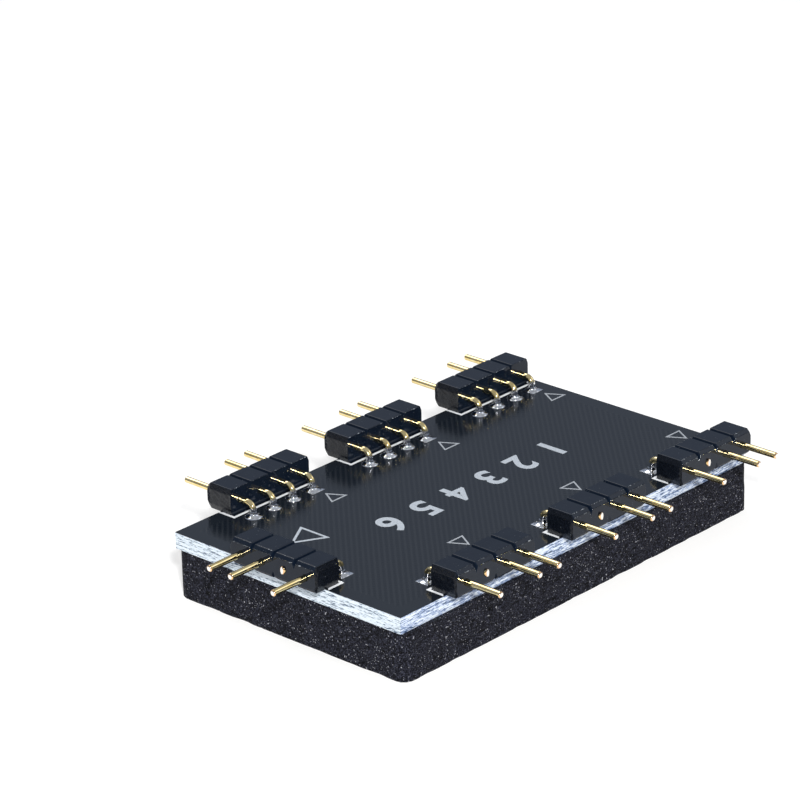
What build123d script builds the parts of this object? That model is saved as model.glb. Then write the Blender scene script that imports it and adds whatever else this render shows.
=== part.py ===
from build123d import *

import os
from math import atan2, cos, degrees, radians, sin

# All sizes are in millimetres. The origin is on the underside of the foam pad, below the middle of the
# board. +X runs along the board away from the input header, +Y to the back row of outputs, +Z up.

# Header housings
PITCH = 2.54  # from pin to pin
HOUSING_HEIGHT = 2.54
HOUSING_DEPTH = 2.95  # along the pins
HOUSING_OVERHANG = 1.46  # past the board's edge
HOUSING_CHAMFER = 0.3  # along the edges of the plug face
NOTCH_WIDTH = 0.4  # break-off grooves between positions
NOTCH_DEPTH = 0.5

# Pins
PIN_DIAMETER = 0.6
PIN_REACH = 3.95  # from the plug face to the tip
CLIPPED_REACH = 0.2  # what is left of the pin that is clipped off as a key
PIN_TIP_CHAMFER = 0.13
BEND_RADIUS = 0.7  # of the pin's middle line
TAIL_OFFSET = 1.58  # from the housing's rear face to the middle of the tail
TAIL_BELOW = 0.9  # past the underside of the board
PIN_CLEARANCE = 0.01  # round the pin in its housing

# Pins, holes and joints are many and tiny, so flat faces stand for their curves
ROUND_SIDES = 8
BEND_STEPS = 4

# Pin roles from the first position to the last; the pin named clipped is cut short as a key
ROLES = ("ground", "clipped", "data", "power")

# Circuit board
BOARD_WIDTH = 27.0
BOARD_THICKNESS = 1.6
OUTPUT_COLUMNS = 3
COLUMN_GAP = 5.08  # between housings in one row
INPUT_MARGIN = 5.51  # from the input end to the first output housing
FAR_MARGIN = 0.85  # from the last output housing to the far end
HOLE_CLEARANCE = 0.12  # from a tail to the plated hole

# Solder joints
LAND_RING = 0.35  # copper land, past the hole
LAND_THICKNESS = 0.06  # of a square land, tinned
SOLDER_FOOT = 0.14  # height of the fillet's flatter foot
SOLDER_STEM = 0.36  # height of its steeper stem
SOLDER_WAIST = 0.17  # past the tail, between foot and stem
SOLDER_NECK = 0.04  # past the tail, at the top of the stem

# Foam pad
FOAM_THICKNESS = 4.6
FOAM_CORNER = 1.1  # radius of the upright edges
FOAM_PAST_FRONT = 0.4  # stands out past the board's front edge
FOAM_PAST_FAR = 0.4  # stands out past the board's far end
DENT_CLEARANCE = 0.15  # round and below each row of joints in the foam

# Sizes that follow
POSITIONS = len(ROLES)
HOUSING_LENGTH = POSITIONS * PITCH
HOUSING_REAR = HOUSING_OVERHANG - HOUSING_DEPTH
PIN_HEIGHT = HOUSING_HEIGHT / 2
PIN_RADIUS = PIN_DIAMETER / 2
TAIL_Y = HOUSING_REAR - TAIL_OFFSET
TAIL_END = -BOARD_THICKNESS - TAIL_BELOW
HOLE_RADIUS = PIN_RADIUS + HOLE_CLEARANCE
LAND_RADIUS = HOLE_RADIUS + LAND_RING
COLUMN_STEP = HOUSING_LENGTH + COLUMN_GAP
ROW_LENGTH = OUTPUT_COLUMNS * HOUSING_LENGTH + (OUTPUT_COLUMNS - 1) * COLUMN_GAP
BOARD_LENGTH = INPUT_MARGIN + ROW_LENGTH + FAR_MARGIN
BOARD_TOP = FOAM_THICKNESS + BOARD_THICKNESS
PIN_XS = [(i - (POSITIONS - 1) / 2) * PITCH for i in range(POSITIONS)]
NOTCH_XS = [(i - POSITIONS / 2) * PITCH for i in range(POSITIONS + 1)]


def round_outline(radius):
    """Flat-sided stand-in for a circle, which touches it at the middle of each flat."""
    return RegularPolygon(radius, ROUND_SIDES, major_radius=False, rotation=180 / ROUND_SIDES)


# A header is modelled at its own origin, on the board's top face at the middle of the header's edge:
# +X along its row of pins, +Y out past the edge of the board.


def header_housing():
    """Moulded break-off strip with a groove at each joint of two positions, and a hole for each pin."""
    notch = Polygon((-NOTCH_WIDTH / 2, 0), (NOTCH_WIDTH / 2, 0), (0, NOTCH_DEPTH), align=None)
    hole = round_outline(PIN_RADIUS + PIN_CLEARANCE)
    front = Pos(0, HOUSING_HEIGHT / 2) * Rectangle(HOUSING_LENGTH, HOUSING_HEIGHT)
    front -= [Pos(x, 0) * notch for x in NOTCH_XS]
    front -= [Pos(x, HOUSING_HEIGHT) * Rot(0, 0, 180) * notch for x in NOTCH_XS]
    front -= [Pos(x, PIN_HEIGHT) * hole for x in PIN_XS]
    strip = extrude(Plane.XZ.offset(-HOUSING_OVERHANG) * front, HOUSING_DEPTH)

    middle_y = (HOUSING_OVERHANG + HOUSING_REAR) / 2
    side = Pos(middle_y, HOUSING_HEIGHT / 2) * Rectangle(HOUSING_DEPTH, HOUSING_HEIGHT)
    side = chamfer(side.vertices().sort_by(Axis.X)[-2:], HOUSING_CHAMFER)
    return strip & extrude(Plane.YZ * side, HOUSING_LENGTH / 2, both=True)


def bent_pin(reach, pointed):
    """Round pin: straight through the housing, then bent down through the board."""
    turns = [radians(90 * step / BEND_STEPS) for step in range(BEND_STEPS + 1)]
    bend = [(TAIL_Y + BEND_RADIUS * (1 - sin(turn)), PIN_HEIGHT - BEND_RADIUS * (1 - cos(turn))) for turn in turns]
    path = Polyline(
        (0, HOUSING_OVERHANG + reach, PIN_HEIGHT),
        *[(0, y, z) for y, z in bend],
        (0, TAIL_Y, TAIL_END),
    )
    section = Plane(path @ 0, x_dir=(1, 0, 0), z_dir=path % 0) * round_outline(PIN_RADIUS)
    pin = sweep(section, path, transition=Transition.RIGHT)
    if pointed:
        pin = chamfer(pin.faces().sort_by(Axis.Y)[-1].edges(), PIN_TIP_CHAMFER)
    return pin


def tapered_round(low_radius, high_radius, height):
    """Flat-sided cone that stands on the XY plane."""
    slope = degrees(atan2(low_radius - high_radius, height))
    return extrude(round_outline(low_radius), height, taper=slope)


def solder_joint(tail, square_land):
    """Solder in one plated hole: a hollow fillet round the tail above the board, a plainer one below."""
    waist = PIN_RADIUS + SOLDER_WAIST
    neck = PIN_RADIUS + SOLDER_NECK
    upper = tapered_round(LAND_RADIUS, waist, SOLDER_FOOT)
    upper += Pos(0, 0, SOLDER_FOOT) * tapered_round(waist, neck, SOLDER_STEM)
    lower = tapered_round(LAND_RADIUS, neck, SOLDER_FOOT + SOLDER_STEM)
    if square_land:
        land = extrude(Rectangle(2 * LAND_RADIUS, 2 * LAND_RADIUS), LAND_THICKNESS)
        upper += land
        lower += land
    barrel = extrude(round_outline(HOLE_RADIUS), -BOARD_THICKNESS)
    under = Pos(0, 0, -BOARD_THICKNESS) * mirror(lower, Plane.XY)
    return Pos(0, TAIL_Y, 0) * (upper + barrel + under) - tail


def header_layout():
    """Each header's name, its place, its roles along its own +X, and the position of its square land."""
    last = POSITIONS - 1
    input_place = Location((-BOARD_LENGTH / 2, 0, BOARD_TOP), (0, 0, 90))
    layout = [("input", input_place, ROLES, 0)]
    first_x = -BOARD_LENGTH / 2 + INPUT_MARGIN + HOUSING_LENGTH / 2
    for column in range(OUTPUT_COLUMNS):
        x = first_x + column * COLUMN_STEP
        back = Location((x, BOARD_WIDTH / 2, BOARD_TOP))
        front = Location((x, -BOARD_WIDTH / 2, BOARD_TOP), (0, 0, 180))
        layout.append((f"output_{column + 1}", back, ROLES, last))
        layout.append((f"output_{column + 1 + OUTPUT_COLUMNS}", front, ROLES[::-1], last))
    return layout


def circuit_board(places):
    """Rigid laminate with a plated hole for each tail."""
    board = Pos(0, 0, BOARD_TOP - BOARD_THICKNESS / 2) * Box(BOARD_LENGTH, BOARD_WIDTH, BOARD_THICKNESS)
    hole = extrude(Pos(0, TAIL_Y) * round_outline(HOLE_RADIUS), -BOARD_THICKNESS)
    return board - [place * Pos(x, 0, 0) * hole for place in places for x in PIN_XS]


def foam_pad(places):
    """Soft pad, stuck on flush with the input end and the back edge, and dented by each row of joints."""
    length = BOARD_LENGTH + FOAM_PAST_FAR
    width = BOARD_WIDTH + FOAM_PAST_FRONT
    outline = Pos(FOAM_PAST_FAR / 2, -FOAM_PAST_FRONT / 2) * RectangleRounded(length, width, FOAM_CORNER)
    pad = extrude(outline, FOAM_THICKNESS)
    dent_width = 2 * (LAND_RADIUS + DENT_CLEARANCE)
    dent_length = dent_width + (POSITIONS - 1) * PITCH
    dent_outline = Pos(0, TAIL_Y, -BOARD_THICKNESS) * Rectangle(dent_length, dent_width)
    dent = extrude(dent_outline, -TAIL_BELOW - DENT_CLEARANCE)
    return pad - [place * dent for place in places]


def save(name, shape):
    """Write one node."""
    export_step(shape, os.path.join("parts", name + ".step"))


def main():
    os.makedirs("parts", exist_ok=True)
    housing = header_housing()
    long_pin = bent_pin(PIN_REACH, pointed=True)
    clipped_pin = bent_pin(CLIPPED_REACH, pointed=False)
    round_joint = solder_joint(long_pin, False)
    square_joint = solder_joint(long_pin, True)

    layout = header_layout()
    for name, place, roles, square_at in layout:
        save(name + "_housing", place * housing)
        joints = []
        for position, role in enumerate(roles):
            at_position = place * Pos(PIN_XS[position], 0, 0)
            pin = clipped_pin if role == "clipped" else long_pin
            joint = square_joint if position == square_at else round_joint
            save(f"{name}_{role}_pin", at_position * pin)
            joints.append((at_position * joint).solid())
        save(name + "_solder_joints", Compound(joints))

    places = [place for name, place, roles, square_at in layout]
    save("circuit_board", circuit_board(places))
    save("foam_pad", foam_pad(places))


main()
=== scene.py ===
# %% [markdown]
# # A lighting splitter hub
#
# The hub is a small black circuit board on a foam pad, with seven four-way pin headers: one input at
# the left end, and three outputs along each long side. Its solids come packed from CAD as a frame that
# stays fixed. This lesson models softer, finer meshes over that frame and gives each surface a finish.

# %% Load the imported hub
import math
import random

import bmesh
import bpy
from mathutils import Matrix, Quaternion, Vector, noise


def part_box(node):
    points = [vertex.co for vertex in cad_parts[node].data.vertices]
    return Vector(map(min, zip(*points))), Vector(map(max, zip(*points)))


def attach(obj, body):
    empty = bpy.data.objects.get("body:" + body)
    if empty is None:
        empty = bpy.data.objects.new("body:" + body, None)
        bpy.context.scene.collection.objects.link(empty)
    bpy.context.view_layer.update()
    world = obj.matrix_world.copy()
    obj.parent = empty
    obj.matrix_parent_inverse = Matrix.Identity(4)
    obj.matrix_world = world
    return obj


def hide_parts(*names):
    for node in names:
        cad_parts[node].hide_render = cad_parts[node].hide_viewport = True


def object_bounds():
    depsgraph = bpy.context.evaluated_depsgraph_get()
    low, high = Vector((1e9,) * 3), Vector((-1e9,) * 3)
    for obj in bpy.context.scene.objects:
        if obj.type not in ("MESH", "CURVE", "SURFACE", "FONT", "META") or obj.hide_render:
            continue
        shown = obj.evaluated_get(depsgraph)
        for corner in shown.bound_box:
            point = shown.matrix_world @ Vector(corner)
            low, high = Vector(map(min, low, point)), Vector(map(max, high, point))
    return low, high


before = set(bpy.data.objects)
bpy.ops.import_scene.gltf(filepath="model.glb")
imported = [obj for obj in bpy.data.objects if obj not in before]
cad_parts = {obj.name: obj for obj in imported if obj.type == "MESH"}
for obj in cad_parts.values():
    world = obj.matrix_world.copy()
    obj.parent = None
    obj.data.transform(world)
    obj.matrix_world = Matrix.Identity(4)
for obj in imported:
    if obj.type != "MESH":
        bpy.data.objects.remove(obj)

MM = 0.001
cad_low, cad_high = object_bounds()
board_low, board_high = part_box("circuit_board")


def in_mm(lengths):
    """Lengths in millimetres, rounded for printing."""
    return [round(length / MM, 2) for length in lengths]


print("CAD nodes:", len(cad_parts), "box in mm:", in_mm(cad_high - cad_low))

# %% [markdown]
# ## The camera
#
# A product photo is taken from some way off with a long lens, so that parallel edges stay nearly
# parallel. The place, aim and lens here come from fitting a pinhole camera to the corners of the board
# and the rows of pins. The camera first looks along its aim with its top upwards, then rolls a little.

# %% Set up the camera
CAMERA_PLACE = Vector((-235.667, -211.686, 147.224)) * MM
CAMERA_AIM = Vector((0.67524, 0.62900, -0.38523))
CAMERA_ROLL = math.radians(-1.3465)
CAMERA_SENSOR = 36
CAMERA_LENS = 172.534
CAMERA_NEAREST = 10 * MM

bpy.ops.object.select_all(action="DESELECT")
bpy.ops.object.camera_add(location=CAMERA_PLACE)
camera = bpy.context.active_object
camera.rotation_mode = "QUATERNION"
camera.rotation_quaternion = CAMERA_AIM.to_track_quat("-Z", "Y") @ Quaternion((0, 0, 1), CAMERA_ROLL)
camera.data.sensor_width = CAMERA_SENSOR
camera.data.lens = CAMERA_LENS
camera.data.clip_start = CAMERA_NEAREST
bpy.context.scene.camera = camera
print("camera is", round(CAMERA_PLACE.length / MM), "mm from the hub")

# %% [markdown]
# ## Floor and light
#
# A white sweep is one pale floor lit so softly that it has no horizon. The floor is plain diffuse
# white, so it keeps the hub's shadow, and a little warm glow is added only where the camera or a mirror
# reflection looks at it. The world is a soft dome that brightens from the horizon upwards: flat shiny
# black surfaces show the dim part, and curved metal shows all of it. A small softbox above the camera is
# the main light. It draws the pins' shadows on the foam and, as a mirror image, a white dash behind each
# pin in the glossy housings. Two wide softboxes draw the broad highlights: one above and behind for the
# pins that point along the board's short side, and one to the right for the input's pins. A small lamp
# beside the lens adds the dashes of the input's own pins.

# %% Lay the floor
FLOOR_SIZE = 6
FLOOR_DROP = 0.01 * MM
FLOOR_WHITE = (0.62, 0.62, 0.62, 1)
FLOOR_GLOW = 0.45
GLOW_COLOUR = (1, 0.98, 0.94, 1)

bpy.ops.mesh.primitive_plane_add(size=FLOOR_SIZE, location=(0, 0, cad_low.z - FLOOR_DROP))
floor = bpy.context.active_object
floor.name = "floor"

floor_finish = bpy.data.materials.new("white_floor")
floor_finish.use_nodes = True
floor_nodes = floor_finish.node_tree.nodes
floor_links = floor_finish.node_tree.links
floor_surface = floor_nodes["Principled BSDF"]
floor_surface.inputs["Base Color"].default_value = FLOOR_WHITE
floor_surface.inputs["Roughness"].default_value = 0.9
floor_surface.inputs["Specular IOR Level"].default_value = 0.1
floor_surface.inputs["Emission Color"].default_value = GLOW_COLOUR
looked_at = floor_nodes.new("ShaderNodeLightPath")
either_ray = floor_nodes.new("ShaderNodeMath")
either_ray.operation = "MAXIMUM"
floor_links.new(looked_at.outputs["Is Camera Ray"], either_ray.inputs[0])
floor_links.new(looked_at.outputs["Is Glossy Ray"], either_ray.inputs[1])
glow = floor_nodes.new("ShaderNodeMath")
glow.operation = "MULTIPLY"
glow.inputs[1].default_value = FLOOR_GLOW
floor_links.new(either_ray.outputs[0], glow.inputs[0])
floor_links.new(glow.outputs[0], floor_surface.inputs["Emission Strength"])
floor.data.materials.append(floor_finish)
print("floor glow for camera and mirror rays:", FLOOR_GLOW)

# %% Light the dome
DOME_RAMP = (
    (0.05, (0.10, 0.10, 0.11, 1)),
    (0.385, (0.31, 0.35, 0.43, 1)),
    (0.75, (0.38, 0.39, 0.41, 1)),
)

world = bpy.data.worlds.new("studio")
bpy.context.scene.world = world
world.use_nodes = True
sky = world.node_tree.nodes
sky_links = world.node_tree.links
sky_direction = sky.new("ShaderNodeTexCoord")
sky_parts = sky.new("ShaderNodeSeparateXYZ")
sky_links.new(sky_direction.outputs["Generated"], sky_parts.inputs[0])
sky_ramp = sky.new("ShaderNodeValToRGB")
sky_ramp.color_ramp.elements.new(0.5)
for element, (height, brightness) in zip(sky_ramp.color_ramp.elements, DOME_RAMP):
    element.position = height
    element.color = brightness
sky_links.new(sky_parts.outputs["Z"], sky_ramp.inputs[0])
sky_seen = sky.new("ShaderNodeLightPath")
sky_mix = sky.new("ShaderNodeMix")
sky_mix.data_type = "RGBA"
sky_mix.inputs[7].default_value = (1, 1, 1, 1)
sky_links.new(sky_seen.outputs["Is Camera Ray"], sky_mix.inputs[0])
sky_links.new(sky_ramp.outputs["Color"], sky_mix.inputs[6])
sky_links.new(sky_mix.outputs[2], sky["Background"].inputs["Color"])
print("dome brightness from the horizon up:", [colour[1] for height, colour in DOME_RAMP])

# %% Hang the lamps
LAMP_DISTANCE = 600 * MM
UP = Vector((0, 0, 1))

bpy.context.scene.view_settings.view_transform = "Standard"


def hang_lamp(name, toward, length_along, length, width, power):
    """Lamp of a size in millimetres that looks at the hub from one direction, its long side along another."""
    facing = toward.normalized()
    along = (length_along - facing * length_along.dot(facing)).normalized()
    bpy.ops.object.select_all(action="DESELECT")
    bpy.ops.object.light_add(type="AREA", location=facing * LAMP_DISTANCE)
    lamp = bpy.context.active_object
    lamp.name = name
    lamp.rotation_mode = "QUATERNION"
    lamp.rotation_quaternion = Matrix((along, facing.cross(along), facing)).transposed().to_quaternion()
    lamp.data.shape = "RECTANGLE"
    lamp.data.size = length * MM
    lamp.data.size_y = width * MM
    lamp.data.energy = power
    print(name, power, "W")


key_side = Vector((-0.556, -0.612, 0.562))
lens_side = Vector((-0.661, -0.620, 0.422))
behind = Vector((0.15, 0.63, 0.76))
right_side = Vector((0.64, -0.45, 0.62))
dash_along = Vector((0.567, 0, 0.56))
hang_lamp("softbox_key", key_side, dash_along, 50, 46, 3.2)
hang_lamp("lamp_by_lens", lens_side, dash_along, 24, 24, 0.8)
hang_lamp("softbox_behind", behind, UP.cross(behind), 380, 240, 0.75)
hang_lamp("softbox_right", right_side, UP.cross(right_side), 420, 260, 0.32)

# %% [markdown]
# ## Tools for modelling
#
# Operators act on whatever is selected, so each step first selects one piece alone and then picks its
# vertices, edges or faces by where they lie. These few helpers do that, apply modifiers, and copy a
# finished piece to a place with a mesh of its own.

# %% Select one piece and pick parts of its mesh
NEAR = 0.002 * MM


def select_only(piece):
    """Leave edit mode and select this piece alone."""
    if bpy.context.mode != "OBJECT":
        bpy.ops.object.mode_set(mode="OBJECT")
    bpy.ops.object.select_all(action="DESELECT")
    if piece:
        piece.select_set(True)
        bpy.context.view_layer.objects.active = piece


def open_mesh(piece):
    """Open one piece in edit mode with nothing in it selected."""
    select_only(piece)
    bpy.ops.object.mode_set(mode="EDIT")
    bpy.ops.mesh.select_all(action="DESELECT")


def pick(piece, kind, test):
    """Select the vertices, edges or faces of an open mesh that pass a test, and return how many."""
    bpy.ops.mesh.select_mode(type=kind)
    bpy.ops.mesh.select_all(action="DESELECT")
    mesh = bmesh.from_edit_mesh(piece.data)
    parts = {"VERT": mesh.verts, "EDGE": mesh.edges, "FACE": mesh.faces}[kind]
    chosen = [part for part in parts if test(part)]
    for part in chosen:
        part.select_set(True)
    mesh.select_flush_mode()
    bmesh.update_edit_mesh(piece.data)
    return len(chosen)


# %% Close, finish and copy pieces
def close_mesh(merge=0.001 * MM):
    """Merge doubled points, turn all faces outwards and leave edit mode."""
    bpy.ops.mesh.select_all(action="SELECT")
    bpy.ops.mesh.remove_doubles(threshold=merge)
    bpy.ops.mesh.normals_make_consistent(inside=False)
    bpy.ops.object.mode_set(mode="OBJECT")


def take_new(name):
    """Name the object that an operator has just added, and apply its place to its mesh."""
    piece = bpy.context.active_object
    piece.name = name
    bpy.ops.object.transform_apply(location=True, rotation=True, scale=True)
    return piece


def add_box(name, low, high):
    """A cube primitive between two corners."""
    select_only(None)
    bpy.ops.mesh.primitive_cube_add(size=1, location=(low + high) / 2, scale=high - low)
    return take_new(name)


def apply_modifier(piece, kind, **settings):
    """Add a modifier, set it and apply it."""
    select_only(piece)
    bpy.ops.object.modifier_add(type=kind)
    modifier = piece.modifiers[-1]
    for setting, value in settings.items():
        setattr(modifier, setting, value)
    bpy.ops.object.modifier_apply(modifier=modifier.name)


def smooth(piece, angle):
    """Shade smooth, with edges sharper than the angle left crisp."""
    select_only(piece)
    bpy.ops.object.shade_smooth_by_angle(angle=math.radians(angle))


def copy_to(master, name, place):
    """Copy a piece with its own mesh, and move that mesh to its place."""
    piece = master.copy()
    piece.data = master.data.copy()
    piece.name = name
    piece.data.transform(place)
    bpy.context.scene.collection.objects.link(piece)
    return piece


def join(pieces, name):
    """Join several pieces into one."""
    select_only(pieces[0])
    for piece in pieces[1:]:
        piece.select_set(True)
    bpy.ops.object.join()
    pieces[0].name = name
    return pieces[0]


def settle(piece, slot, *nodes):
    """Fix a piece to the hub and hide the CAD nodes that it stands for. The slot is not used."""
    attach(piece, "root")
    if nodes:
        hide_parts(*nodes)


# %% [markdown]
# ## Where the headers go
#
# All seven headers are the same part, turned to face three ways. Each is modelled once in a frame of
# its own, on the board's edge, with its row of pins along X and the plugs coming from +Y. The box of
# each CAD housing tells where that frame goes.

# %% Find each header's place
HEADERS = ("input",) + tuple(f"output_{number}" for number in range(1, 7))
PIN_ROLES = ("ground", "clipped", "data", "power")


def header_place(header):
    """Matrix from the header's own frame to its place on the board."""
    low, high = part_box(header + "_housing")
    middle = (low + high) / 2
    if low.x < board_low.x:
        edge, turn = (board_low.x, middle.y, board_high.z), math.radians(90)
    elif high.y > board_high.y:
        edge, turn = (middle.x, board_high.y, board_high.z), 0
    else:
        edge, turn = (middle.x, board_low.y, board_high.z), math.radians(180)
    return Matrix.Translation(edge) @ Matrix.Rotation(turn, 4, "Z")


def pin_place(header, role):
    """Matrix from a pin's own frame, at the middle of a row, to its place."""
    low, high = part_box(f"{header}_{role}_pin")
    along = (header_place(header).inverted() @ ((low + high) / 2)).x
    return header_place(header) @ Matrix.Translation((along, 0, 0))


places = {header: header_place(header) for header in HEADERS}
print({header: in_mm(places[header].translation) for header in HEADERS})

# %% [markdown]
# ## The header housing
#
# A break-off header is moulded as one long strip with V grooves between positions, and snapped off
# where it is needed, so half a groove and a torn face show at each end. It could be built from four
# blocks, but one box that is bisected beside each groove and pushed in along the middle stays a single
# closed skin. The pin holes are cut with a Boolean, and a small bevel all over catches the light as
# moulded edges do. The torn faces are divided and roughened. Weighted normals, set straight on the large
# faces, keep those faces flat mirrors.

# %% Shape the strip and its grooves
PLUG_EDGE = 0.3 * MM
GROOVE_HALF = 0.2 * MM
GROOVE_DEPTH = 0.5 * MM

housing_low, housing_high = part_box("output_1_housing")
housing_length = housing_high.x - housing_low.x
housing_height = housing_high.z - housing_low.z
housing_front = housing_high.y - board_high.y
housing_rear = housing_low.y - board_high.y
pitch = housing_length / len(PIN_ROLES)
groove_places = [index * pitch - housing_length / 2 for index in range(len(PIN_ROLES) + 1)]

housing = add_box(
    "housing_master",
    Vector((-housing_length / 2, housing_rear, 0)),
    Vector((housing_length / 2, housing_front, housing_height)),
)
open_mesh(housing)
pick(housing, "EDGE", lambda edge: all(vert.co.y > housing_front - NEAR for vert in edge.verts)
     and abs(edge.verts[0].co.z - edge.verts[1].co.z) < NEAR)
bpy.ops.mesh.bevel(offset=PLUG_EDGE, segments=1, affect="EDGES")
for middle in groove_places:
    for cut in (middle - GROOVE_HALF, middle, middle + GROOVE_HALF):
        if abs(cut) < housing_length / 2 - NEAR:
            bpy.ops.mesh.select_all(action="SELECT")
            bpy.ops.mesh.bisect(plane_co=(cut, 0, 0), plane_no=(1, 0, 0))
for middle in groove_places:
    pick(housing, "VERT", lambda vert: abs(vert.co.x - middle) < NEAR and vert.co.z > housing_height / 2)
    bpy.ops.transform.translate(value=(0, 0, -GROOVE_DEPTH))
    pick(housing, "VERT", lambda vert: abs(vert.co.x - middle) < NEAR and vert.co.z < housing_height / 2)
    bpy.ops.transform.translate(value=(0, 0, GROOVE_DEPTH))
close_mesh()
print("grooves at", in_mm(groove_places), "mm")

# %% Cut the pin holes and soften the edges
PIN_RADIUS = 0.3 * MM
HOLE_GAP = 0.01 * MM
HOLE_SIDES = 24
CUTTER_LENGTH = 8 * MM
MOULD_EDGE = 0.05 * MM

pin_level = housing_height / 2
cutters = []
for index in range(len(PIN_ROLES)):
    middle = (groove_places[index] + groove_places[index + 1]) / 2
    select_only(None)
    bpy.ops.mesh.primitive_cylinder_add(
        vertices=HOLE_SIDES, radius=PIN_RADIUS + HOLE_GAP, depth=CUTTER_LENGTH,
        location=(middle, 0, pin_level), rotation=(math.radians(90), 0, 0))
    cutters.append(take_new(f"hole_cutter_{index}"))
cutter = join(cutters, "hole_cutter")
apply_modifier(housing, "BOOLEAN", object=cutter, operation="DIFFERENCE", solver="EXACT")
bpy.data.objects.remove(cutter)
apply_modifier(housing, "BEVEL", width=MOULD_EDGE, segments=2, limit_method="ANGLE",
               angle_limit=math.radians(30))
print("housing faces:", len(housing.data.polygons))

# %% Tear the ends
TEAR_CUTS = 9
TEAR_DEPTH = 0.03 * MM
TORN_BAND = 2.2 * TEAR_DEPTH
FLAT_AREA = 0.06 * MM * MM
DIAGONAL = math.sqrt(0.5)
MOULDED, TORN, PAINTED_GLINT = range(3)


def at_end(spot, depth=NEAR):
    """True on the torn face at either end of the strip."""
    return abs(spot.x) > housing_length / 2 - depth


def on_rounding(face):
    """True on the narrow faces that round the strip's long upper edges."""
    upper = face.center.z > housing_height - PLUG_EDGE - 2 * MOULD_EDGE
    flat = max(abs(part) for part in face.normal) > 0.995
    chamfer = all(abs(abs(part) - DIAGONAL) < 0.01 for part in (face.normal.y, face.normal.z))
    return upper and not flat and not chamfer and abs(face.normal.x) < 0.1


open_mesh(housing)
pick(housing, "FACE", lambda face: abs(face.normal.x) > 0.99 and at_end(face.calc_center_median()))
bpy.ops.mesh.quads_convert_to_tris()
bpy.ops.mesh.subdivide(number_cuts=TEAR_CUTS)
torn_points = pick(housing, "VERT", lambda vert: at_end(vert.co))
bpy.ops.transform.resize(value=(1 - 2 * TEAR_DEPTH / housing_length, 1, 1), center_override=(0, 0, 0))
bpy.ops.transform.vertex_random(offset=TEAR_DEPTH, normal=1.0, seed=4)
close_mesh(merge=0.0001 * MM)
smooth(housing, 40)
apply_modifier(housing, "WEIGHTED_NORMAL", keep_sharp=True, weight=100)
shading = [corner.vector.copy() for corner in housing.data.corner_normals]
for face in housing.data.polygons:
    if face.area > FLAT_AREA:
        for corner in face.loop_indices:
            shading[corner] = face.normal.copy()
housing.data.normals_split_custom_set(shading)
for face in housing.data.polygons:
    torn = at_end(face.center, TORN_BAND)
    # Faces that round the long upper edges get the finish with painted highlight dots.
    face.material_index = TORN if torn else PAINTED_GLINT if on_rounding(face) else MOULDED
painted_glint_faces = sum(1 for face in housing.data.polygons if face.material_index == PAINTED_GLINT)
print("torn points:", torn_points, "worn faces:", painted_glint_faces)

# %% [markdown]
# ## The pins
#
# Each pin is round gold-plated wire with a chamfered end, bent down through the board behind the
# housing. Sweeping a circle along a curve would do, but extruding a ring, spinning it round the bend
# and extruding the tail is how the wire is really formed. The end is closed in a few smaller rings.
# Weighted normals keep the shading straight along the straight runs, as a mirror finish needs. One
# position is cut off short as a key, so that a plug fits only one way round, and the cutter's jaws leave
# its end pinched. Two attributes guide the finish: one marks the pin ends, which get a pale disc in a
# coppery ring, uncoated metal on the cut end and a painted reflection on the long pins' ends; the other
# marks the foot of the bend, where solder has crept up and tinned the gold.

# %% Model the long pin and the clipped pin
PIN_SIDES = 24
BEND_RADIUS = 0.7 * MM
BEND_STEPS = 12
LONG_TIP = ((0.05, 0.95, 0.95), (0.05, 0.8, 0.8), (0.03, 0.6, 0.6))
CLIPPED_TIP = ((0.06, 0.95, 1.08), (0.08, 0.8, 1.2), (0.06, 0.45, 1.1))
TINNED_TOP = 1.0 * MM
TINNED_FADE = 0.25 * MM
PIN_END_BAND = 0.12 * MM

joints_low, joints_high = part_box("output_1_solder_joints")
tail_place = (joints_low.y + joints_high.y) / 2 - board_high.y
tail_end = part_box("output_1_ground_pin")[0].z - board_high.z


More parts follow.
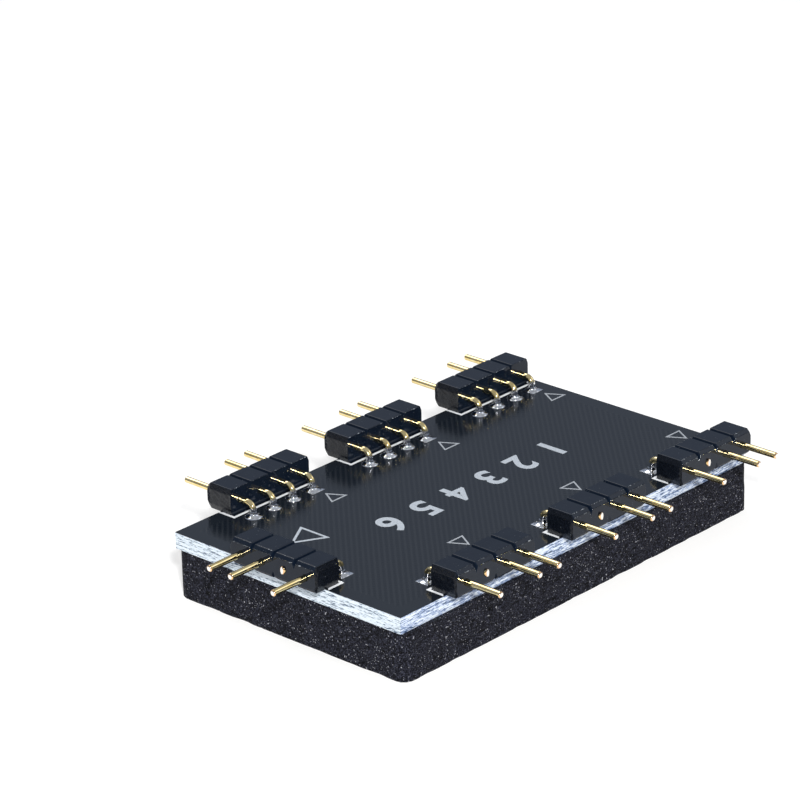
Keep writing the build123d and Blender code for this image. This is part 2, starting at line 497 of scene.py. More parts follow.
def model_pin(name, node, tip):
    """Bent round pin that reaches as far as the CAD node does.

    Each ring of the tip is a step in millimetres and two scales.
    """
    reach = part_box(node)[1].y - board_high.y
    shoulder = reach - sum(step for step, across, upright in tip) * MM
    select_only(None)
    bpy.ops.mesh.primitive_circle_add(
        vertices=PIN_SIDES, radius=PIN_RADIUS, location=(0, shoulder, pin_level),
        rotation=(math.radians(90), 0, 0))
    pin = take_new(name)
    open_mesh(pin)
    bpy.ops.mesh.select_mode(type="EDGE")
    bpy.ops.mesh.select_all(action="SELECT")
    back = tail_place + BEND_RADIUS - shoulder
    bpy.ops.mesh.extrude_region_move(TRANSFORM_OT_translate={"value": (0, back, 0)})
    bpy.ops.mesh.spin(
        steps=BEND_STEPS, angle=math.radians(-90),
        center=(0, tail_place + BEND_RADIUS, pin_level - BEND_RADIUS), axis=(1, 0, 0))
    down = tail_end - (pin_level - BEND_RADIUS)
    bpy.ops.mesh.extrude_region_move(TRANSFORM_OT_translate={"value": (0, 0, down)})
    bpy.ops.mesh.edge_face_add()
    pick(pin, "VERT", lambda vert: vert.co.y > shoulder - NEAR)
    last_across, last_upright = 1, 1
    for step, across, upright in tip:
        bpy.ops.mesh.extrude_region_move(TRANSFORM_OT_translate={"value": (0, step * MM, 0)})
        bpy.ops.transform.resize(
            value=(across / last_across, 1, upright / last_upright), center_override=(0, 0, pin_level))
        last_across, last_upright = across, upright
    bpy.ops.mesh.edge_face_add()
    close_mesh()
    smooth(pin, 35)
    apply_modifier(pin, "WEIGHTED_NORMAL", keep_sharp=True, weight=100)
    pin_end = pin.data.attributes.new("pin_end", "FLOAT", "POINT")
    tinned = pin.data.attributes.new("tinned", "FLOAT", "POINT")
    for vert in pin.data.vertices:
        pin_end.data[vert.index].value = min(max(1 - (reach - vert.co.y) / PIN_END_BAND, 0.0), 1.0)
        if vert.co.y < housing_rear:
            tinned.data[vert.index].value = min(max((TINNED_TOP - vert.co.z) / TINNED_FADE, 0.0), 1.0)
    low, high = (Vector(pin.bound_box[0]), Vector(pin.bound_box[6]))
    print(name, "from", in_mm(low), "to", in_mm(high))
    return pin


long_pin = model_pin("long_pin_master", "output_1_ground_pin", LONG_TIP)
clipped_pin = model_pin("clipped_pin_master", "output_1_clipped_pin", CLIPPED_TIP)

# %% [markdown]
# ## The solder joints
#
# Molten solder wets the land and climbs the pin, and sets as a shallow round pool with a hollow neck. A
# ring of edges is extruded down from the neck, scaled at each step along that profile, taken through the
# plated hole, and flared again below the board. The land at one end of each row is square, so that joint
# gets a square plate under its foot.

# %% Model the round joint
JOINT_SIDES = 32
POOL_RINGS = (
    (0.33, 0.46), (0.345, 0.34), (0.375, 0.25), (0.43, 0.185), (0.52, 0.14), (0.61, 0.115), (0.68, 0.09),
    (0.735, 0.06), (0.765, 0.025),
)
LAND_RADIUS = 0.77 * MM
LAND_THICKNESS = 0.05 * MM
HOLE_RADIUS = 0.42 * MM

board_thickness = board_high.z - board_low.z
upper = [(radius * MM, height * MM) for radius, height in POOL_RINGS]
upper += [(LAND_RADIUS, 0), (HOLE_RADIUS, 0)]
lower = [(radius, -board_thickness - height) for radius, height in reversed(upper)]
rings = upper + lower

select_only(None)
bpy.ops.mesh.primitive_circle_add(
    vertices=JOINT_SIDES, radius=rings[0][0], location=(0, tail_place, rings[0][1]))
round_joint = take_new("round_joint_master")
open_mesh(round_joint)
bpy.ops.mesh.select_mode(type="EDGE")
bpy.ops.mesh.select_all(action="SELECT")
bpy.ops.mesh.edge_face_add()
for (radius, height), (next_radius, next_height) in zip(rings, rings[1:]):
    pick(round_joint, "VERT", lambda vert: abs(vert.co.z - height) < NEAR
         and abs(math.hypot(vert.co.x, vert.co.y - tail_place) - radius) < NEAR)
    bpy.ops.mesh.select_mode(type="EDGE")
    bpy.ops.mesh.extrude_edges_move(TRANSFORM_OT_translate={"value": (0, 0, next_height - height)})
    scale = next_radius / radius
    bpy.ops.transform.resize(value=(scale, scale, 1), center_override=(0, tail_place, next_height))
bpy.ops.mesh.edge_face_add()
close_mesh(merge=0.0001 * MM)
smooth(round_joint, 50)
print("joint rings:", len(rings), "faces:", len(round_joint.data.polygons))

# %% Model the joint on a square land
PLATE_EDGE = 0.02 * MM

plate_low = Vector((-LAND_RADIUS, tail_place - LAND_RADIUS, 0))
plate_high = Vector((LAND_RADIUS, tail_place + LAND_RADIUS, LAND_THICKNESS))
plate = add_box("land_plate", plate_low, plate_high)
apply_modifier(plate, "BEVEL", width=PLATE_EDGE, segments=2)
under_drop = Matrix.Translation((0, 0, -board_thickness - LAND_THICKNESS))
under_plate = copy_to(plate, "under_plate", under_drop)
square_joint = copy_to(round_joint, "square_joint_master", Matrix())
join([square_joint, plate, under_plate], "square_joint_master")
smooth(square_joint, 50)
print("square joint faces:", len(square_joint.data.polygons))

# %% [markdown]
# ## Copies on the board
#
# Each header gets its own housing, its pins and a set of four joints. Hand soldering never makes two
# joints alike, so each copy is stretched a little, and pushed by smooth noise, from a fixed seed.

# %% Place housings and pins
for header in HEADERS:
    body = copy_to(housing, header + "_body", places[header])
    settle(body, "header_plastic", header + "_housing")
    for role in PIN_ROLES:
        master = clipped_pin if role == "clipped" else long_pin
        pin = copy_to(master, f"{header}_{role}_wire", pin_place(header, role))
        settle(pin, "gold_plate", f"{header}_{role}_pin")
print("housings:", len(HEADERS), "pins:", len(HEADERS) * len(PIN_ROLES))

# %% Place the solder joints
SQUARE_LAND = {"input": "ground", "output_1": "power", "output_2": "power", "output_3": "power"}
JOINT_WOBBLE = 0.012 * MM
WOBBLE_SCALE = 2.2

random.seed(11)


def solder_joint(header, role):
    """Copy of a joint, stretched and wobbled a little, at one pin's tail."""
    square = SQUARE_LAND.get(header, "ground") == role
    joint = copy_to(square_joint if square else round_joint, "joint", Matrix())
    rise = random.uniform(0.8, 1.15)
    spread = random.uniform(0.93, 1.04)
    shift = Vector((random.uniform(0, 50), random.uniform(0, 50), 0))
    for vert in joint.data.vertices:
        if vert.co.z > 0:
            vert.co.z *= rise
        wobble = noise.noise(vert.co / MM * WOBBLE_SCALE + shift) * JOINT_WOBBLE
        outward = Vector((vert.co.x, vert.co.y - tail_place, 0))
        if outward.length > HOLE_RADIUS:
            outward *= spread + wobble / outward.length
            vert.co.x = outward.x
            vert.co.y = outward.y + tail_place
    joint.data.transform(pin_place(header, role))
    return joint


for header in HEADERS:
    joints = join([solder_joint(header, role) for role in PIN_ROLES], header + "_solder")
    settle(joints, "solder", header + "_solder_joints")
for master in (housing, long_pin, clipped_pin, round_joint, square_joint):
    bpy.data.objects.remove(master)
print("solder joints:", len(HEADERS) * len(PIN_ROLES))

# %% [markdown]
# ## The foam pad
#
# The pad is closed-cell foam tape, cut to the board's outline. Its cut sides show open cells as small
# dark pores, and its edges are slightly ragged, so they can't be flat faces with a picture on them. A
# flat outline gets round corners, its edges are divided finely and it is extruded, and each point of the
# sides is then pushed in by the nearest cell. How deep it went is kept as an attribute, by which the
# finish paints shade into the pores.

# %% Cut the pad to its outline
FOAM_STEP = 0.115 * MM
FOAM_CORNER = 1.1 * MM
CORNER_STEPS = 12

foam_low, foam_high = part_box("foam_pad")
foam_size = foam_high - foam_low
foam_middle = (foam_low + foam_high) / 2
select_only(None)
bpy.ops.mesh.primitive_plane_add(size=1, location=(foam_middle.x, foam_middle.y, foam_low.z))
bpy.context.active_object.scale = (foam_size.x, foam_size.y, 1)
foam = take_new("foam_cushion")
open_mesh(foam)
bpy.ops.mesh.select_all(action="SELECT")
bpy.ops.mesh.bevel(offset=FOAM_CORNER, segments=CORNER_STEPS, affect="VERTICES")
for axis in (0, 1):
    pick(foam, "EDGE", lambda edge: abs(edge.verts[0].co[axis] - edge.verts[1].co[axis]) > 5 * MM)
    bpy.ops.mesh.subdivide(number_cuts=round((foam_size[axis] - 2 * FOAM_CORNER) / FOAM_STEP))
bpy.ops.mesh.select_mode(type="FACE")
bpy.ops.mesh.select_all(action="SELECT")
bpy.ops.mesh.extrude_region_move(TRANSFORM_OT_translate={"value": (0, 0, foam_size.z)})
pick(foam, "EDGE", lambda edge: abs(edge.verts[0].co.z - edge.verts[1].co.z) > 1 * MM)
bpy.ops.mesh.subdivide(number_cuts=round(foam_size.z / FOAM_STEP))
close_mesh()
print("foam points:", len(foam.data.vertices))

# %% Press the troughs for the joints
TROUGH_HALF_WIDTH = 0.92 * MM
TROUGH_DEPTH = 1.05 * MM
TROUGH_RISE = 0.2 * MM

half_length = 1.5 * pitch + TROUGH_HALF_WIDTH
troughs = []
for header in HEADERS:
    trough = add_box(
        "trough",
        Vector((-half_length, tail_place - TROUGH_HALF_WIDTH, -board_thickness - TROUGH_DEPTH)),
        Vector((half_length, tail_place + TROUGH_HALF_WIDTH, -board_thickness + TROUGH_RISE)),
    )
    trough.data.transform(places[header])
    troughs.append(trough)
trough_cutter = join(troughs, "trough_cutter")
apply_modifier(foam, "BOOLEAN", object=trough_cutter, operation="DIFFERENCE", solver="EXACT")
bpy.data.objects.remove(trough_cutter)
print("foam faces:", len(foam.data.polygons))

# %% Open the cells along the cut sides
CELL_SIZE = 0.34
CELL_REACH = 0.42
PORE_DEPTH = 0.09 * MM
PORE_SHIFT = Vector((7, 3, 5))
SWELL = 0.2 * MM
SIDE_BAND = 0.9 * FOAM_CORNER

pore = foam.data.attributes.new("pore", "FLOAT", "POINT")
for vert in foam.data.vertices:
    inner = Vector((
        min(max(vert.co.x, foam_low.x + FOAM_CORNER), foam_high.x - FOAM_CORNER),
        min(max(vert.co.y, foam_low.y + FOAM_CORNER), foam_high.y - FOAM_CORNER),
        vert.co.z))
    outward = vert.co - inner
    if outward.length < SIDE_BAND:
        continue
    spot = vert.co / MM
    distances = noise.voronoi(spot / CELL_SIZE)[0]
    cell = max(0.0, 1 - distances[0] / CELL_REACH)
    wanted = noise.noise(spot / CELL_SIZE * 0.7 + PORE_SHIFT)
    depth = cell * min(max(wanted * 3 + 0.6, 0), 1)
    swell = noise.noise(spot * 0.5) * SWELL
    vert.co += outward.normalized() * (min(swell, 0) - depth * PORE_DEPTH)
    pore.data[vert.index].value = depth
smooth(foam, 60)
settle(foam, "foam", "foam_pad")
print("pores deeper than half:", sum(1 for item in pore.data if item.value > 0.5))

# %% [markdown]
# ## The print on the board
#
# White ink is screen-printed on the solder mask: an outline beside each housing, an arrow that marks
# the end of each row, and lettering. Only plain numbers stand in the place of the lettering. Ink is a
# layer with a thickness that can be felt, so it is modelled: flat shapes are inset, the middle is
# deleted, and Solidify raises what is left by a few hundredths of a millimetre.

# %% Print the header outlines
INK = 0.02 * MM
OUTLINE_WIDTH = 0.27 * MM
OUTLINE_INNER = -1.98 * MM
OUTLINE_HALF = 5.17 * MM


def hollow_out(width):
    """Inset the open mesh's only face and delete its middle."""
    bpy.ops.mesh.select_mode(type="FACE")
    bpy.ops.mesh.select_all(action="SELECT")
    bpy.ops.mesh.inset(thickness=width, depth=0)
    bpy.ops.mesh.delete(type="FACE")


def outline_print(header):
    """Three sides of a frame round the housing, open at the board's edge."""
    select_only(None)
    bpy.ops.mesh.primitive_plane_add(size=1, location=(0, OUTLINE_INNER / 2, 0))
    bpy.context.active_object.scale = (2 * OUTLINE_HALF, -OUTLINE_INNER, 1)
    outline = take_new("outline")
    open_mesh(outline)
    hollow_out(OUTLINE_WIDTH)
    pick(outline, "FACE", lambda face: face.calc_center_median().y > -OUTLINE_WIDTH)
    bpy.ops.mesh.delete(type="FACE")
    close_mesh()
    apply_modifier(outline, "SOLIDIFY", thickness=INK, offset=1)
    outline.data.transform(places[header])
    return outline


outlines = join([outline_print(header) for header in HEADERS], "print_outlines")
settle(outlines, "solder_mask")
print("outline faces:", len(outlines.data.polygons))

# %% Print the arrows
ARROW_LINE = 0.15 * MM
INPUT_ARROW = (-16.63, 3.94)
BACK_ARROW = (3.97, 7.83)
FRONT_ARROW = (4.10, -7.12)


def arrow_print(place, radius, turn, line):
    """Hollow triangle, its point along +X before it is turned."""
    select_only(None)
    bpy.ops.mesh.primitive_circle_add(vertices=3, radius=radius, fill_type="NGON")
    arrow = take_new("arrow")
    open_mesh(arrow)
    hollow_out(line)
    close_mesh()
    apply_modifier(arrow, "SOLIDIFY", thickness=INK, offset=1)
    spin = Matrix.Rotation(math.radians(turn - 90), 4, "Z")
    arrow.data.transform(Matrix.Translation((place[0] * MM, place[1] * MM, board_high.z)) @ spin)
    return arrow


input_arrow = arrow_print(INPUT_ARROW, 2.07 * MM, 180, 0.24 * MM)
input_arrow.name = "print_input_arrow"
settle(input_arrow, "solder_mask")
arrows = []
for number in (1, 2, 3):
    middle = places[f"output_{number}"].translation.x / MM
    arrows.append(arrow_print((middle + BACK_ARROW[0], BACK_ARROW[1]), 1.22 * MM, 90, ARROW_LINE))
    arrows.append(arrow_print((middle + FRONT_ARROW[0], FRONT_ARROW[1]), 1.2 * MM, -90, ARROW_LINE))
output_arrows = join(arrows, "print_output_arrows")
settle(output_arrows, "solder_mask")
print("arrows:", 1 + len(arrows))

# %% Print the numbers
NUMBER_HEIGHT = 3.1 * MM
NUMBER_PLACE = (0.6 * MM, -0.15 * MM)

select_only(None)
bpy.ops.object.text_add()
numbers = bpy.context.active_object
numbers.name = "print_numbers"
numbers.data.body = "1 2 3 4 5 6"
numbers.data.align_x = "CENTER"
numbers.data.align_y = "CENTER"
numbers.data.size = NUMBER_HEIGHT / 0.7
numbers.data.space_word = 1.75
numbers.data.offset = 0.1 * MM
numbers.data.extrude = INK / 2
bpy.ops.object.convert(target="MESH")
numbers = bpy.context.active_object
open_mesh(numbers)
close_mesh()
text_low, text_high = (Vector(numbers.bound_box[0]), Vector(numbers.bound_box[6]))
centre = (text_low + text_high) / 2
numbers.data.transform(
    Matrix.Translation((*NUMBER_PLACE, board_high.z + INK / 2))
    @ Matrix.Rotation(math.radians(180), 4, "Z") @ Matrix.Translation(-centre))
settle(numbers, "solder_mask")
print("numbers measure", in_mm(text_high - text_low), "mm")

# %% [markdown]
# ## Nodes for the finishes
#
# Every finish here is worked out from Object coordinates, in millimetres, so a pattern has its real
# size. These helpers add nodes and join them. One effect is shared by all the finishes: a fine grain
# with sparse specks, which stands for moulding texture, plating grain or dust, and on the foam for
# painted glints. It is built once as a node group, and each finish uses it at its own scale.

# %% Add and join nodes
def new_finish(name):
    """New material; returns it with its node tree and its surface shader."""
    finish = bpy.data.materials.new(name)
    finish.use_nodes = True
    return finish, finish.node_tree, finish.node_tree.nodes["Principled BSDF"]


def dress(piece, finish):
    """Give a piece one finish in place of any that it has."""
    piece.data.materials.clear()
    piece.data.materials.append(finish)


def feed(tree, socket, value):
    """Join an output to an input, or set the input to a plain value."""
    if isinstance(value, bpy.types.NodeSocket):
        tree.links.new(value, socket)
    else:
        socket.default_value = value


def calc(tree, operation, *values):
    """Math node."""
    made = tree.nodes.new("ShaderNodeMath")
    made.operation = operation
    for socket, value in zip(made.inputs, values):
        feed(tree, socket, value)
    return made.outputs[0]


def blend(tree, mask, low, high):
    """Colour that goes from low to high as the mask goes from 0 to 1."""
    made = tree.nodes.new("ShaderNodeMix")
    made.data_type = "RGBA"
    for index, value in ((0, mask), (6, low), (7, high)):
        feed(tree, made.inputs[index], value)
    return made.outputs[2]


def choose(tree, mask, low, high):
    """Value that goes from low to high as the mask goes from 0 to 1."""
    made = tree.nodes.new("ShaderNodeMix")
    for index, value in ((0, mask), (2, low), (3, high)):
        feed(tree, made.inputs[index], value)
    return made.outputs[0]


def remap(tree, value, from_low, from_high, to_low=0.0, to_high=1.0):
    """Value stretched from one range to another, and held there."""
    made = tree.nodes.new("ShaderNodeMapRange")
    for index, number in enumerate((value, from_low, from_high, to_low, to_high)):
        feed(tree, made.inputs[index], number)
    return made.outputs[0]


def millimetres(tree, stretch=(1, 1, 1)):
    """Object coordinates in millimetres, scaled along each axis."""
    source = tree.nodes.new("ShaderNodeTexCoord")
    made = tree.nodes.new("ShaderNodeMapping")
    made.inputs["Scale"].default_value = [axis / MM for axis in stretch]
    tree.links.new(source.outputs["Object"], made.inputs["Vector"])
    return made.outputs[0]


def noise_value(tree, where, scale, detail=3.0, roughness=0.55):
    """Fractal noise from 0 to 1."""
    made = tree.nodes.new("ShaderNodeTexNoise")
    tree.links.new(where, made.inputs["Vector"])
    for name, number in (("Scale", scale), ("Detail", detail), ("Roughness", roughness)):
        feed(tree, made.inputs[name], number)
    return made.outputs[0]


def bump(tree, surface, height, distance):
    """Let a height, worth a distance in millimetres, tilt the surface."""
    made = tree.nodes.new("ShaderNodeBump")
    made.inputs["Distance"].default_value = distance * MM
    feed(tree, made.inputs["Height"], height)
    tree.links.new(made.outputs[0], surface.inputs["Normal"])


# %% Build the shared grain
def build_grain():
    """Group: fine grain and sparse specks over a surface."""
    tree = bpy.data.node_groups.new("fine_grain", "ShaderNodeTree")
    for name, direction, kind in (
        ("Vector", "INPUT", "NodeSocketVector"), ("Scale", "INPUT", "NodeSocketFloat"),
        ("Grain", "OUTPUT", "NodeSocketFloat"), ("Specks", "OUTPUT", "NodeSocketFloat"),
    ):
        tree.interface.new_socket(name=name, in_out=direction, socket_type=kind)
    entry = tree.nodes.new("NodeGroupInput")
    leave = tree.nodes.new("NodeGroupOutput")
    grain = noise_value(tree, entry.outputs["Vector"], entry.outputs["Scale"], 4.0, 0.6)
    cells = tree.nodes.new("ShaderNodeTexVoronoi")
    tree.links.new(entry.outputs["Vector"], cells.inputs["Vector"])
    tree.links.new(calc(tree, "MULTIPLY", entry.outputs["Scale"], 0.5), cells.inputs["Scale"])
    sparse = tree.nodes.new("ShaderNodeSeparateColor")
    tree.links.new(cells.outputs["Color"], sparse.inputs[0])
    dot = remap(tree, cells.outputs["Distance"], 0.12, 0.2, 1.0, 0.0)
    rare = remap(tree, sparse.outputs[0], 0.88, 0.9)
    tree.links.new(grain, leave.inputs["Grain"])
    tree.links.new(calc(tree, "MULTIPLY", dot, rare), leave.inputs["Specks"])
    return tree


grain_group = build_grain()


def grain_at(tree, where, scale):
    """Place the grain group; returns its grain and its specks."""
    made = tree.nodes.new("ShaderNodeGroup")
    made.node_tree = grain_group
    tree.links.new(where, made.inputs["Vector"])
    made.inputs["Scale"].default_value = scale
    return made.outputs["Grain"], made.outputs["Specks"]


print("grain group sockets:", [item.name for item in grain_group.interface.items_tree])

# %% [markdown]
# ## Solder mask and laminate
#
# The board is glass cloth in resin, coated with glossy black solder mask. Under the mask lies a hatched
# copper fill: thin diagonal lines about half a millimetre apart, which stop short of the edges. They
# show through as a faint relief that breaks reflections. The cut edges are uncoated: pale resin with
# dark and light fibre bundles, and shade is painted on them, so the long sides are darker and bluer than
# the ends. The CAD board has the right shape, so it stays, and its finish tells faces from edges, and
# ends from sides, by the direction of the surface.

# %% Finish the board
MASK_BLACK = (0.004, 0.007, 0.012, 1)
MASK_OVER_COPPER = (0.016, 0.020, 0.026, 1)
LAMINATE_WHITE = (0.80, 0.86, 0.92, 1)
LAMINATE_END_LIT = (0.64, 0.73, 0.79, 1)
LAMINATE_SIDE_SHADED = (0.27, 0.36, 0.58, 1)
LAMINATE_DARK = (0.04, 0.07, 0.13, 1)
HATCH_PITCH = 0.47
HATCH_MARGIN = 1.5

board_finish, tree, surface = new_finish("mask_over_laminate")
where = millimetres(tree)
grain = grain_at(tree, where, 9.0)[0]
spot = tree.nodes.new("ShaderNodeSeparateXYZ")
tree.links.new(where, spot.inputs[0])
direction = tree.nodes.new("ShaderNodeTexCoord")
facing = tree.nodes.new("ShaderNodeSeparateXYZ")
tree.links.new(direction.outputs["Normal"], facing.inputs[0])
coated = calc(tree, "GREATER_THAN", calc(tree, "ABSOLUTE", facing.outputs["Z"]), 0.5)
lit_end_mask = calc(tree, "GREATER_THAN", calc(tree, "ABSOLUTE", facing.outputs["X"]), 0.5)


def hatch_lines(operation):
    """Ridges from 0 to 1 along one diagonal of the board."""
    diagonal = calc(tree, operation, spot.outputs["X"], spot.outputs["Y"])
    across = calc(tree, "MULTIPLY", diagonal, DIAGONAL)
    wave = calc(tree, "SINE", calc(tree, "MULTIPLY", across, 2 * math.pi / HATCH_PITCH))
    return remap(tree, wave, -0.6, 0.8)


def inside(axis, half):
    """1 where the copper fill lies, 0 near the board's edges along one axis."""
    return calc(tree, "LESS_THAN", calc(tree, "ABSOLUTE", spot.outputs[axis]), half / MM - HATCH_MARGIN)


filled = calc(tree, "MULTIPLY", inside("X", board_high.x), inside("Y", board_high.y))
crossing = calc(tree, "MULTIPLY", hatch_lines("ADD"), 0.6)
lines = calc(tree, "MAXIMUM", hatch_lines("SUBTRACT"), crossing)
lines = calc(tree, "MULTIPLY", lines, remap(tree, grain, 0.3, 0.7, 0.55, 1.2))
plain = calc(tree, "MULTIPLY_ADD", filled, -0.5, 0.5)
hatch = calc(tree, "ADD", calc(tree, "MULTIPLY", lines, filled), plain)

along = calc(tree, "ADD", spot.outputs["X"], spot.outputs["Y"])


def edge_noise(along_scale, upright_scale, detail):
    """Noise on the cut edges, stretched along them."""
    place = tree.nodes.new("ShaderNodeCombineXYZ")
    feed(tree, place.inputs[0], calc(tree, "MULTIPLY", along, along_scale))
    feed(tree, place.inputs[1], calc(tree, "MULTIPLY", spot.outputs["Z"], upright_scale))
    return noise_value(tree, place.outputs[0], 1.0, detail, 0.65)


fibres = edge_noise(0.4, 4.6, 3.0)
flecks = edge_noise(1.8, 10.0, 2.0)
streaks = calc(tree, "ADD", calc(tree, "MULTIPLY", fibres, 0.5), calc(tree, "MULTIPLY", flecks, 0.5))
# Painted shade: the long sides of the cut edge get a darker, bluer tone than the ends.
laminate_pale = blend(tree, lit_end_mask, LAMINATE_SIDE_SHADED, LAMINATE_END_LIT)
laminate_pale = blend(tree, remap(tree, streaks, 0.47, 0.55), laminate_pale, LAMINATE_WHITE)
laminate = blend(tree, remap(tree, streaks, 0.41, 0.48), LAMINATE_DARK, laminate_pale)
coat_line = calc(tree, "GREATER_THAN", spot.outputs["Z"], (board_high.z / MM) - 0.06)
laminate = blend(tree, coat_line, laminate, MASK_BLACK)

mask_colour = blend(tree, hatch, MASK_BLACK, MASK_OVER_COPPER)
feed(tree, surface.inputs["Base Color"], blend(tree, coated, laminate, mask_colour))
mask_rough = calc(tree, "ADD", calc(tree, "MULTIPLY", grain, 0.08), 0.05)
feed(tree, surface.inputs["Roughness"], choose(tree, coated, 0.5, mask_rough))
surface.inputs["Specular IOR Level"].default_value = 0.3
grain_relief = calc(tree, "MULTIPLY", grain, 0.1)
fine_relief = calc(tree, "ADD", calc(tree, "MULTIPLY", hatch, 0.16), grain_relief)
bump(tree, surface, choose(tree, coated, streaks, fine_relief), 0.03)
dress(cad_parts["circuit_board"], board_finish)
print("board finish nodes:", len(tree.nodes))

# %% [markdown]
# ## Header plastic
#
# Header strips are moulded from black glass-filled plastic with a high gloss. The base colour is almost
# black, so what shows is reflection: the pale floor and the pins in the plug faces, the dark board in the
# rear faces. A fine grain varies the gloss and a few specks of mould dust sit on it. Pale dots are
# painted on the rounded edges as highlights, and the torn ends are duller and granular.

# %% Finish the moulded faces
PLASTIC_DARK = (0.002, 0.005, 0.013, 1)
PLASTIC_LIGHT = (0.006, 0.011, 0.020, 1)
MOULD_DUST = (0.10, 0.11, 0.12, 1)

plastic_finish, tree, surface = new_finish("header_plastic_black")
where = millimetres(tree)
grain, specks = grain_at(tree, where, 12.0)
clouds = noise_value(tree, where, 0.9, 2.0)
plastic = blend(tree, clouds, PLASTIC_DARK, PLASTIC_LIGHT)
feed(tree, surface.inputs["Base Color"], blend(tree, specks, plastic, MOULD_DUST))
feed(tree, surface.inputs["Roughness"], remap(tree, grain, 0.3, 0.7, 0.015, 0.045))
surface.inputs["Specular IOR Level"].default_value = 0.23
bump(tree, surface, clouds, 0.0012)
print("moulded finish nodes:", len(tree.nodes))

# %% Finish the torn ends
TORN_DARK = (0.001, 0.002, 0.004, 1)
TORN_LIGHT = (0.006, 0.008, 0.013, 1)
TORN_DUST = (0.08, 0.09, 0.10, 1)

torn_finish, tree, surface = new_finish("torn_plastic_black")
where = millimetres(tree)
grain, specks = grain_at(tree, where, 6.0)
ragged = noise_value(tree, where, 5.0, 3.0, 0.7)
torn = blend(tree, remap(tree, ragged, 0.35, 0.7), TORN_DARK, TORN_LIGHT)
feed(tree, surface.inputs["Base Color"], blend(tree, specks, torn, TORN_DUST))
feed(tree, surface.inputs["Roughness"], remap(tree, grain, 0.3, 0.7, 0.2, 0.34))
surface.inputs["Specular IOR Level"].default_value = 0.3
bump(tree, surface, ragged, 0.025)
print("torn finish nodes:", len(tree.nodes))

# %% Finish the rounded edges with painted highlight dots
EDGE_DARK = (0.006, 0.009, 0.015, 1)
EDGE_PAINTED_GLINT = (0.36, 0.39, 0.42, 1)

glint_edge_finish, tree, surface = new_finish("painted_glint_edge")
where = millimetres(tree)
grain = grain_at(tree, where, 5.0)[0]
# Pale dots on the rounded edges are painted highlights, where moulded edges catch the light.
glint_dots = remap(tree, noise_value(tree, where, 4.5, 4.0, 0.75), 0.54, 0.62)
glint_dots = calc(tree, "MULTIPLY", glint_dots, remap(tree, noise_value(tree, where, 0.8, 2.0), 0.42, 0.62))
feed(tree, surface.inputs["Base Color"], blend(tree, glint_dots, EDGE_DARK, EDGE_PAINTED_GLINT))
feed(tree, surface.inputs["Roughness"], remap(tree, grain, 0.3, 0.7, 0.15, 0.4))
surface.inputs["Specular IOR Level"].default_value = 0.3
for header in HEADERS:
    for finish in (plastic_finish, torn_finish, glint_edge_finish):
        bpy.data.objects[header + "_body"].data.materials.append(finish)
print("housing finishes: 3")

# %% [markdown]
# ## Gold plate and solder
#
# The pins are brass wire with a thin polished gold plate: a metal whose colour shifts a little where the
# plate is thinner. Each pin's end is a pale disc in a coppery ring: uncoated metal on the clipped pin's
# cut end, and a painted reflection of the floor on the long pins' ends. The foot of each bend is tinned.
# The solder is bright tin, smooth but never perfectly so, with a slight frost in patches.

# %% Finish the pins
GOLD_DEEP = (0.84, 0.66, 0.29, 1)
GOLD_PALE = (0.94, 0.79, 0.45, 1)
GOLD_SPECK = (0.70, 0.50, 0.22, 1)
TINNED_METAL = (0.82, 0.83, 0.86, 1)
END_RING_BARE_AND_REFLECTION = (0.85, 0.52, 0.26, 1)
END_DISC_BARE_AND_REFLECTION = (0.97, 0.93, 0.86, 1)

gold_finish, tree, surface = new_finish("gold_plate")
where = millimetres(tree)
grain, specks = grain_at(tree, where, 14.0)
patches = noise_value(tree, where, 1.4, 3.0)
pin_end_node = tree.nodes.new("ShaderNodeAttribute")
pin_end_node.attribute_name = "pin_end"
crept_up = tree.nodes.new("ShaderNodeAttribute")
crept_up.attribute_name = "tinned"
gold = blend(tree, remap(tree, patches, 0.35, 0.65), GOLD_DEEP, GOLD_PALE)
gold = blend(tree, specks, gold, GOLD_SPECK)
ragged_line = calc(tree, "ADD", crept_up.outputs["Fac"], calc(tree, "SUBTRACT", patches, 0.5))
metal = blend(tree, remap(tree, ragged_line, 0.3, 0.7), gold, TINNED_METAL)
# Pale disc and coppery ring at each pin's end: uncoated metal on the clipped pin's cut end, painted
# reflection on the long pins' ends.
metal = blend(tree, remap(tree, pin_end_node.outputs["Fac"], 0.05, 0.3), metal, END_RING_BARE_AND_REFLECTION)
metal = blend(tree, remap(tree, pin_end_node.outputs["Fac"], 0.75, 0.98), metal, END_DISC_BARE_AND_REFLECTION)
feed(tree, surface.inputs["Base Color"], metal)
surface.inputs["Metallic"].default_value = 1.0
feed(tree, surface.inputs["Roughness"], remap(tree, grain, 0.3, 0.7, 0.02, 0.06))
bump(tree, surface, patches, 0.002)
for header in HEADERS:
    for role in PIN_ROLES:
        dress(bpy.data.objects[f"{header}_{role}_wire"], gold_finish)
print("gold finish nodes:", len(tree.nodes))

# %% Finish the solder
TIN_BRIGHT = (0.86, 0.88, 0.92, 1)
TIN_FROSTED = (0.70, 0.73, 0.78, 1)
TIN_SPECK = (0.40, 0.41, 0.44, 1)

solder_finish, tree, surface = new_finish("bright_solder")
where = millimetres(tree)
grain, specks = grain_at(tree, where, 7.0)
frost = noise_value(tree, where, 2.5, 3.0)
tin = blend(tree, remap(tree, frost, 0.4, 0.65), TIN_BRIGHT, TIN_FROSTED)
feed(tree, surface.inputs["Base Color"], blend(tree, specks, tin, TIN_SPECK))
surface.inputs["Metallic"].default_value = 1.0
feed(tree, surface.inputs["Roughness"], remap(tree, frost, 0.35, 0.7, 0.03, 0.10))
bump(tree, surface, frost, 0.008)
for header in HEADERS:
    dress(bpy.data.objects[header + "_solder"], solder_finish)
print("solder finish nodes:", len(tree.nodes))
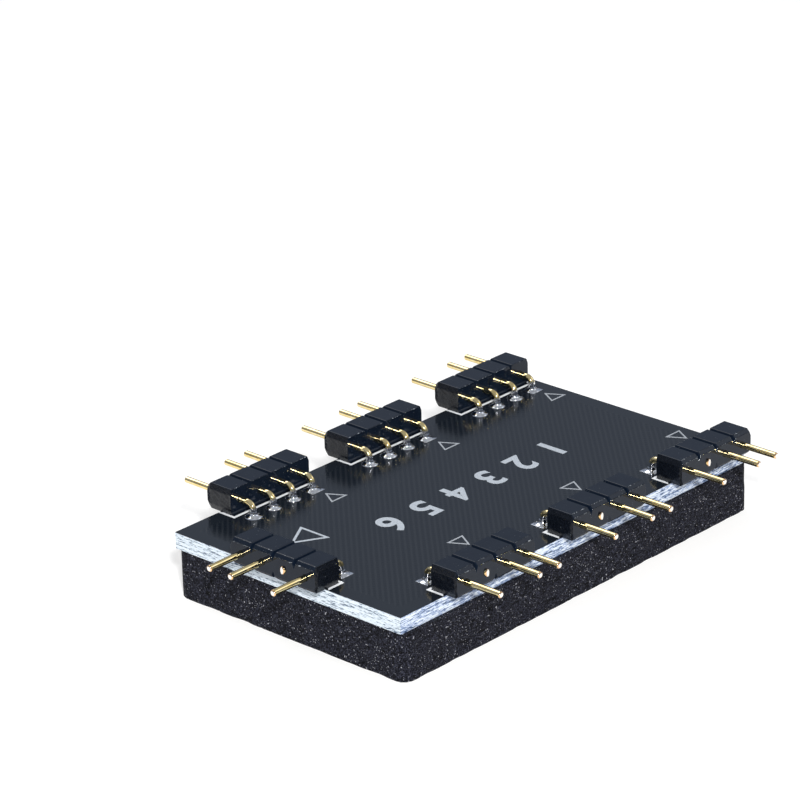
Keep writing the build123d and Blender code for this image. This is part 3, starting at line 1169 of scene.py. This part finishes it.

# %% [markdown]
# ## Foam and ink
#
# The foam's colour follows the pore attribute that was stored on its mesh: shade is painted black into
# the pores and into the hollows of the bump, the skin between them is a dusty dark grey, and glints are
# painted on as pale specks. The ink is chalky white for the outlines and a thinner grey for the arrows
# and numbers, with pinholes where the mask shows through.

# %% Finish the foam
FOAM_HOLLOW_SHADE = (0.0005, 0.0005, 0.002, 1)
FOAM_SKIN = (0.044, 0.046, 0.066, 1)
FOAM_PORE_SHADE = (0.0005, 0.0005, 0.001, 1)
FOAM_PAINTED_GLINT = (0.44, 0.44, 0.47, 1)
FOAM_PAINTED_SPARKLE = (0.50, 0.50, 0.53, 1)

foam_finish, tree, surface = new_finish("foam_cells")
where = millimetres(tree)
grain, specks = grain_at(tree, where, 10.0)
cell_walls = noise_value(tree, where, 7.0, 2.0, 0.7)
painted_glints = remap(tree, noise_value(tree, where, 6.5, 0.5), 0.71, 0.77)
depth = tree.nodes.new("ShaderNodeAttribute")
depth.attribute_name = "pore"
# Painted shade: black in the hollows of the bump and, by the pore attribute, in the pores.
skin = blend(tree, remap(tree, cell_walls, 0.45, 0.66), FOAM_HOLLOW_SHADE, FOAM_SKIN)
foam_with_painted_light = blend(tree, remap(tree, depth.outputs["Fac"], 0.05, 0.5), skin, FOAM_PORE_SHADE)
# Painted highlights: pale glints and specks stand for light caught by the cell walls.
foam_with_painted_light = blend(tree, painted_glints, foam_with_painted_light, FOAM_PAINTED_GLINT)
feed(tree, surface.inputs["Base Color"], blend(tree, specks, foam_with_painted_light, FOAM_PAINTED_SPARKLE))
feed(tree, surface.inputs["Roughness"], remap(tree, grain, 0.2, 0.8, 0.55, 0.85))
surface.inputs["Specular IOR Level"].default_value = 0.1
bump(tree, surface, cell_walls, 0.12)
dress(foam, foam_finish)
print("foam finish nodes:", len(tree.nodes))

# %% Finish the ink
PINHOLE = (0.2, 0.2, 0.21, 1)


def ink_finish(name, thin, full):
    """Matt printing ink between two greys, with pinholes."""
    finish, tree, surface = new_finish(name)
    where = millimetres(tree)
    grain, specks = grain_at(tree, where, 10.0)
    ink = blend(tree, remap(tree, grain, 0.3, 0.7), thin, full)
    feed(tree, surface.inputs["Base Color"], blend(tree, specks, ink, PINHOLE))
    feed(tree, surface.inputs["Roughness"], remap(tree, grain, 0.2, 0.8, 0.45, 0.65))
    bump(tree, surface, grain, 0.006)
    return finish


white_ink = ink_finish("white_ink", (0.82, 0.84, 0.86, 1), (0.92, 0.93, 0.94, 1))
number_ink = ink_finish("number_ink", (0.31, 0.35, 0.39, 1), (0.58, 0.62, 0.67, 1))
thin_ink = ink_finish("thin_ink", (0.30, 0.32, 0.35, 1), (0.45, 0.48, 0.51, 1))
inked = (
    (outlines, white_ink), (input_arrow, number_ink), (output_arrows, thin_ink), (numbers, number_ink),
)
for piece, ink in inked:
    dress(piece, ink)
print("ink finishes: 3")
